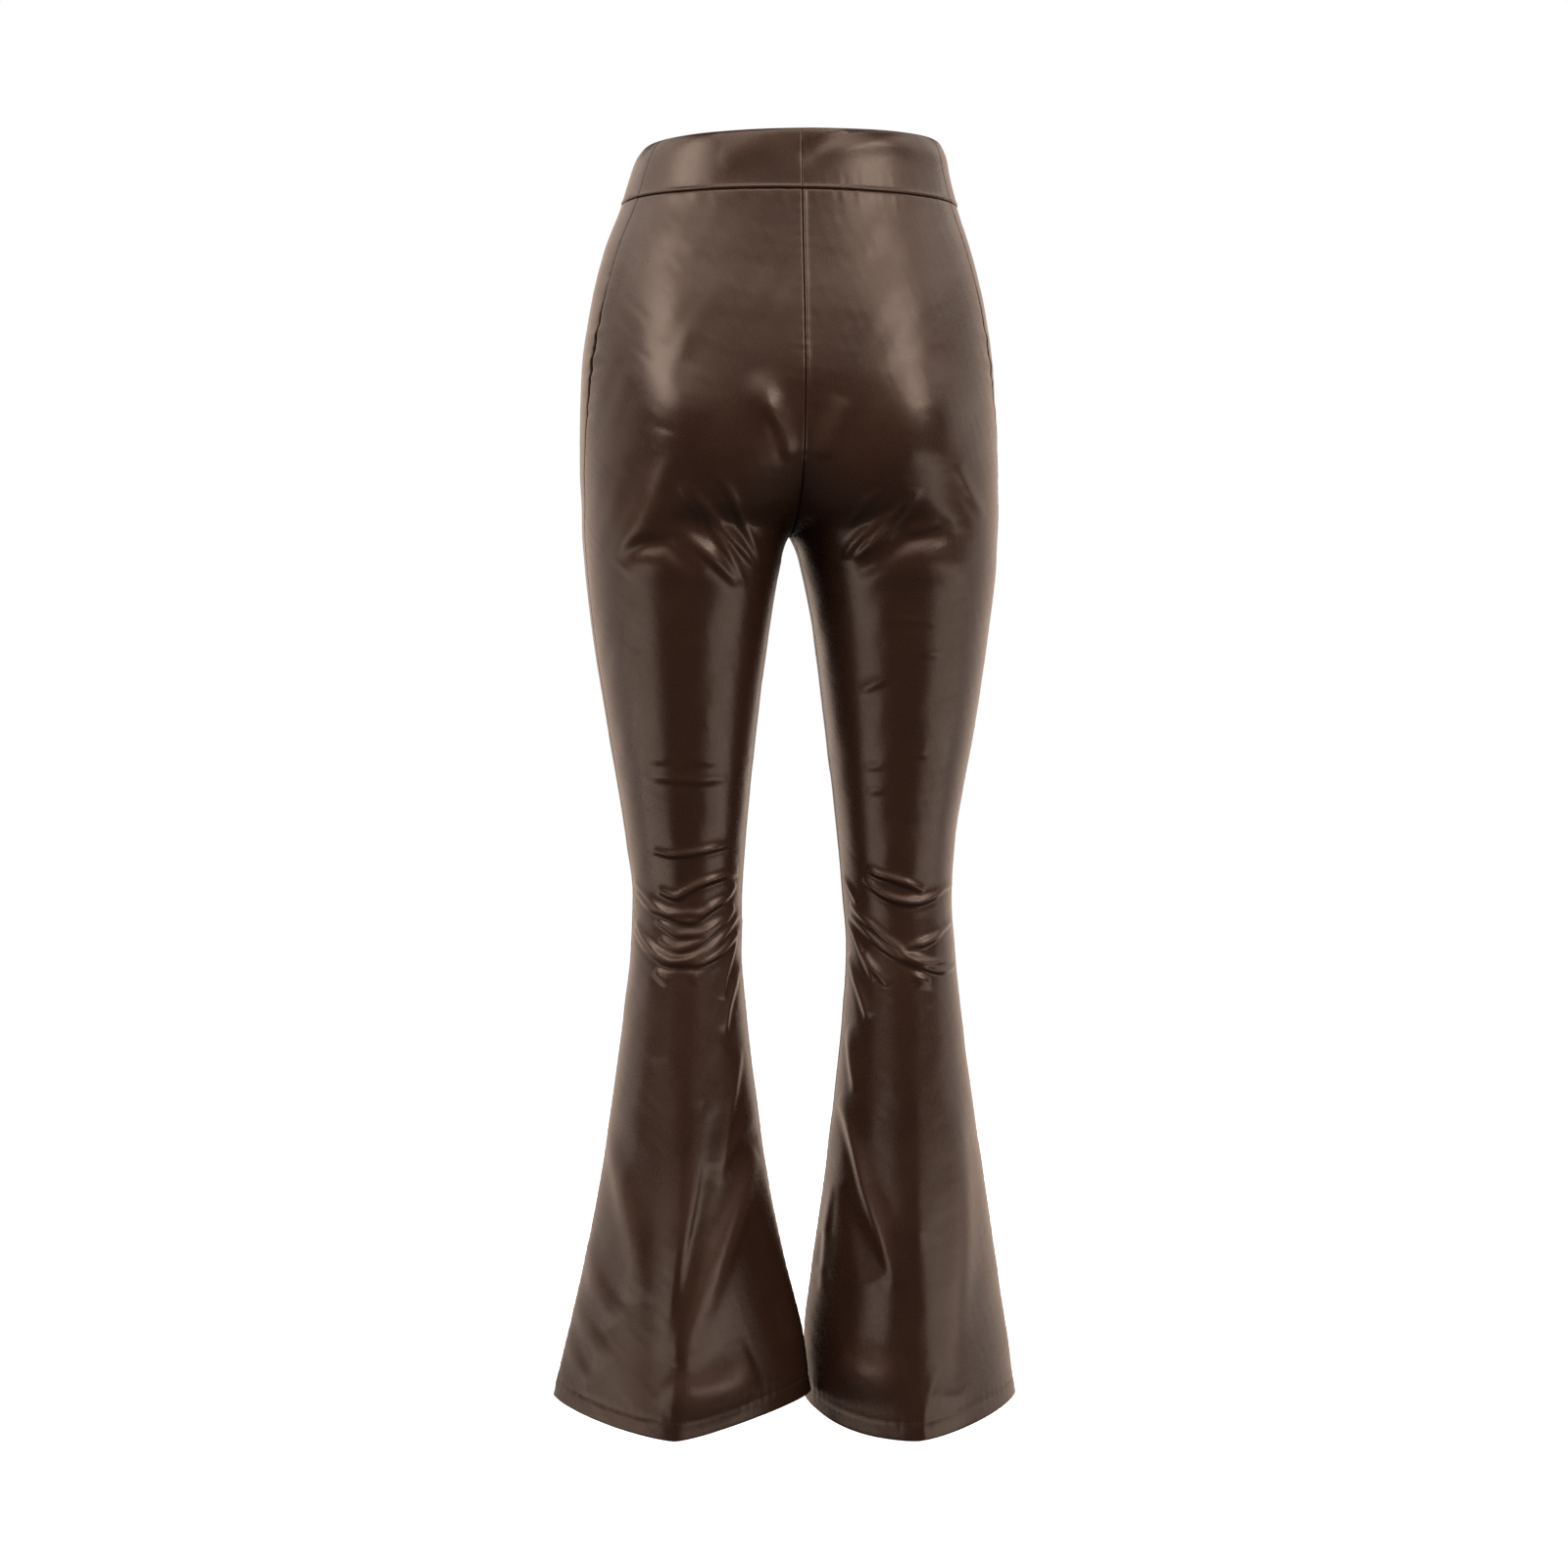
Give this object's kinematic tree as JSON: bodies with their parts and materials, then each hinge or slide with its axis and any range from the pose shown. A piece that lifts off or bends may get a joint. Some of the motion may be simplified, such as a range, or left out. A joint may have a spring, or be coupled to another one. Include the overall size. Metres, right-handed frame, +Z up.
{
  "type": "faux leather flared trousers",
  "caption": "Glossy dark brown faux leather flared trousers with a high pull-on waistband and in-seam pockets, hollow and filled out as worn.",
  "frame": {"origin": "centre of the waist opening, level with the waistband's top edge, where the wearer's waist holds the trousers up", "axes": "+Z up, +Y out of the back of the trousers, +X towards the wearer's left leg"},
  "size_m": [0.376, 0.241, 1.028],
  "materials": {
    "faux_leather": "glossy",
    "pocket_cloth": "satin"
  },
  "bodies": {
    "root": {"back_left": "faux_leather", "back_right": "faux_leather", "front_left": "faux_leather", "front_right": "faux_leather", "waistband_back_left": "faux_leather", "waistband_back_right": "faux_leather", "waistband_front": "faux_leather", "pocket_left": "pocket_cloth", "pocket_right": "pocket_cloth"}
  },
  "joints": []
}
